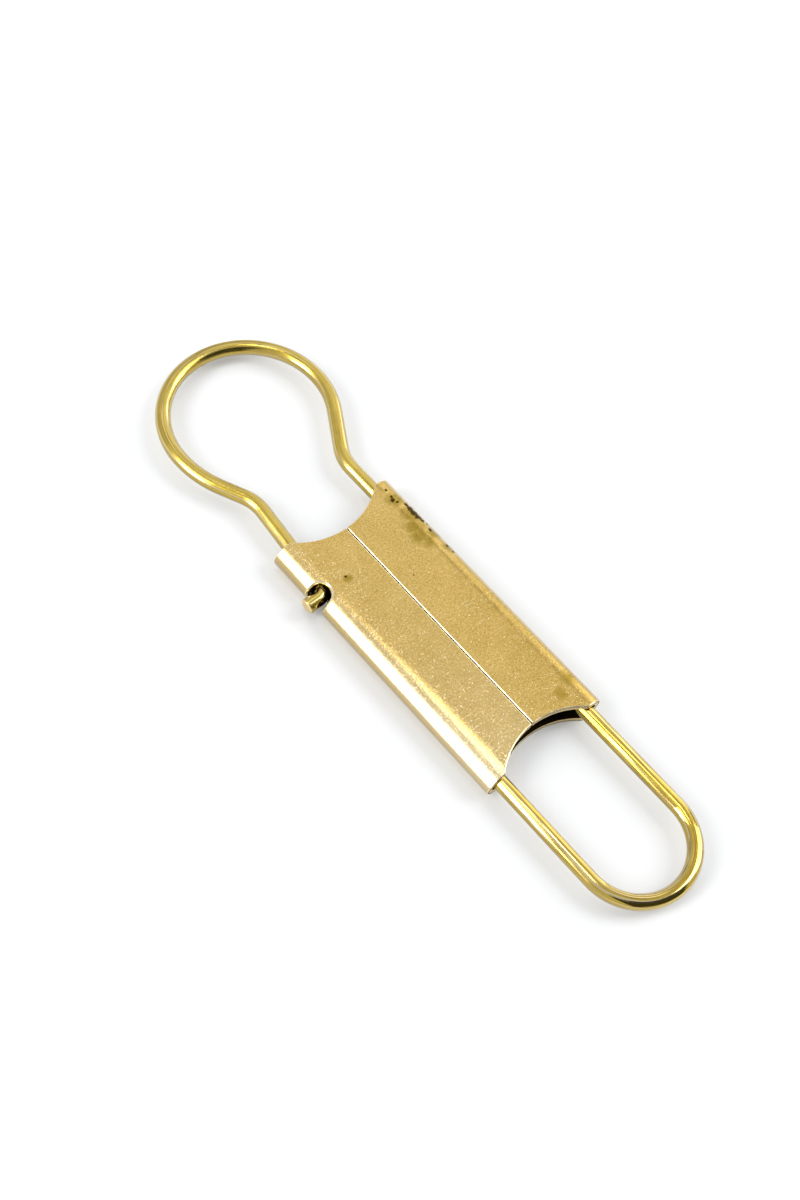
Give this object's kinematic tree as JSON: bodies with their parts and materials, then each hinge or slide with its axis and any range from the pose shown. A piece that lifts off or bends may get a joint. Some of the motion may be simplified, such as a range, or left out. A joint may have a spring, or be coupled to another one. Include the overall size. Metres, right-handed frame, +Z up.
{
  "type": "belt key clip",
  "caption": "Flat key clip: one bent round wire with a round belt loop, a hooked spring latch and a U-shaped key bow, held shut by a folded sheet sleeve that slides along its legs.",
  "frame": {"origin": "under the middle of the clip's bounding box, on the surface that the clip lies on", "axes": "+Y from the key bow to the belt loop, +X to the right across the clip with the hook on the left, +Z up out of the face that has the seam"},
  "size_m": [0.0276, 0.1068, 0.0048],
  "materials": {
    "brass_wire": "polished drawn wire",
    "brass_sheet": "tumbled and slightly tarnished sheet"
  },
  "bodies": {
    "wire": {"wire_frame": "brass_wire"},
    "latch": {"latch_arm": "brass_wire", "latch_hook": "brass_wire"},
    "sleeve": {"sleeve": "brass_sheet"}
  },
  "joints": [
    {"name": "sleeve_slide", "type": "slide", "parent": "wire", "child": "sleeve", "axis": [0, -1, 0], "range_m": [0, 0.017], "deforming": ["latch_hook"]},
    {"name": "latch_press", "type": "hinge", "parent": "wire", "child": "latch", "pos_m": [0, 0.05108, 0.0024], "axis": [0, 0, 1], "range_deg": [0, 3.2], "stiffness_Nm_per_rad": 4.1}
  ]
}
